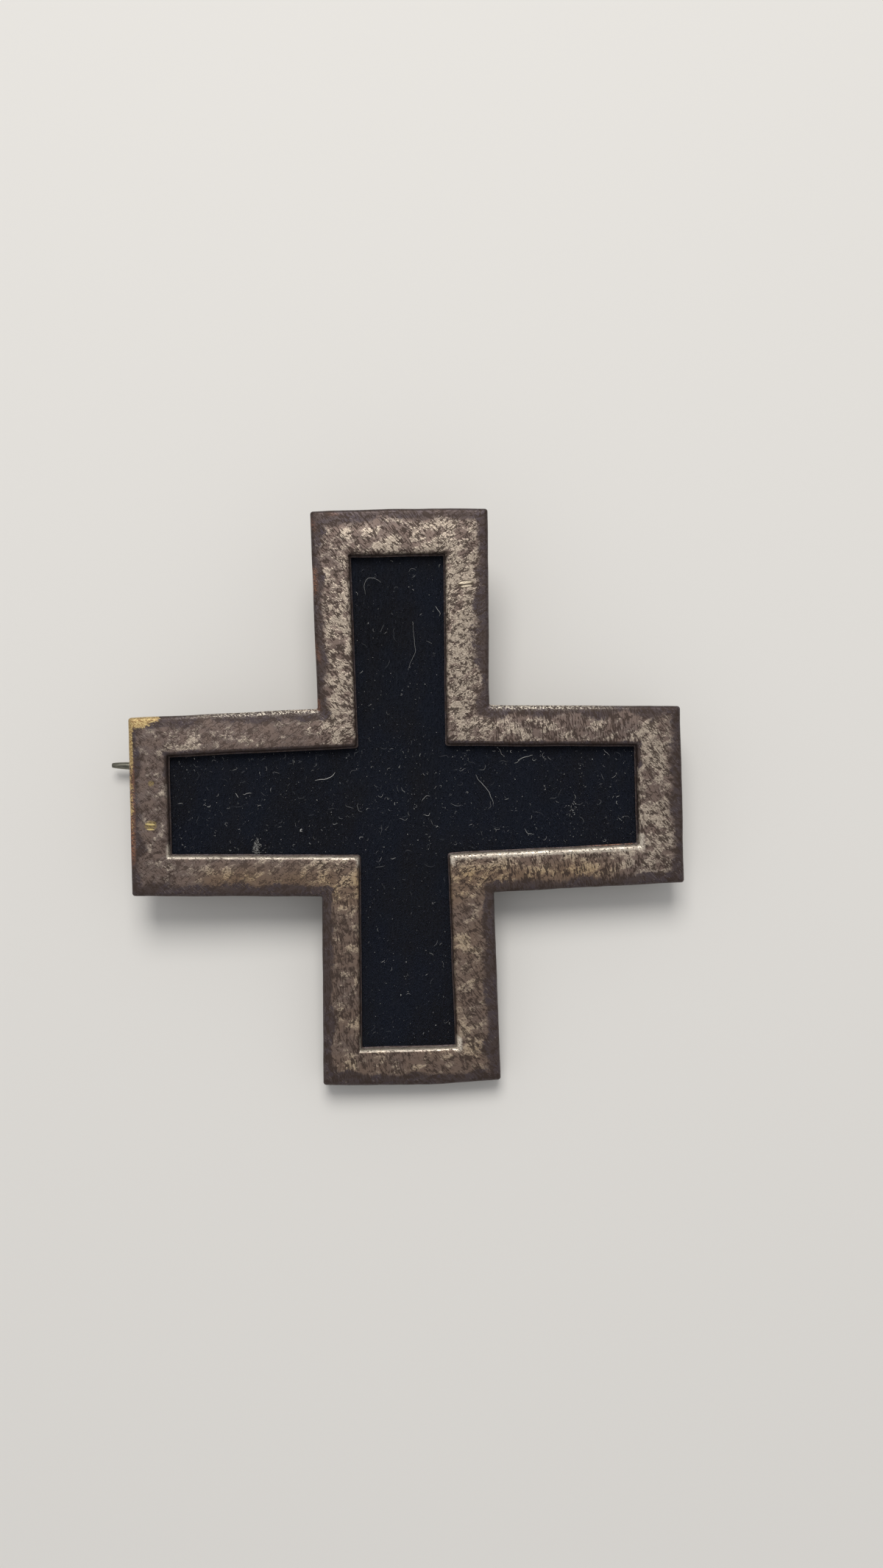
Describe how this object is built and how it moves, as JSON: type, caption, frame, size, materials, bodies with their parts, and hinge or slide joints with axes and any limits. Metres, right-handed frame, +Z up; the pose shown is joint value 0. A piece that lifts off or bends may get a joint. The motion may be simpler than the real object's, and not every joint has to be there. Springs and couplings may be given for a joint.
{
  "type": "cross-shaped brooch",
  "caption": "Cross-shaped brooch with a pressed metal border, a velvet inlay and, on its back, a hinged pin held by a hook.",
  "frame": {"origin": "middle of the brooch's footprint, on the surface it lies on", "axes": "+Z up, away from that surface; +Y towards the end of the top arm and +X towards the end of the right arm, with the velvet side up. The brooch leans about 8 degrees, because its hinge and hook hold its top end up"},
  "size_m": [0.041, 0.0398, 0.0079],
  "materials": {
    "tarnished_plate": "worn, tarnished silver plate over pressed brass",
    "velvet": "black cotton velvet with pale lint",
    "brass_back": "dull, tarnished sheet brass",
    "brass_fitting": "dull brass with soft solder at its feet",
    "pin_steel": "darkened steel wire with a ground point"
  },
  "bodies": {
    "brooch": {"frame": "tarnished_plate", "velvet": "velvet", "back_plate": "brass_back", "hinge_bracket": "brass_fitting", "hinge_rivet": "brass_fitting", "catch_hook": "brass_fitting"},
    "pin": {"pin": "pin_steel"}
  },
  "joints": [
    {"name": "pin_swing", "type": "hinge", "parent": "brooch", "child": "pin", "pos_m": [0.01196, 0.00137, 0.00117], "axis": [-0.0558, -0.988, -0.1442], "range_deg": [0, 85]}
  ]
}
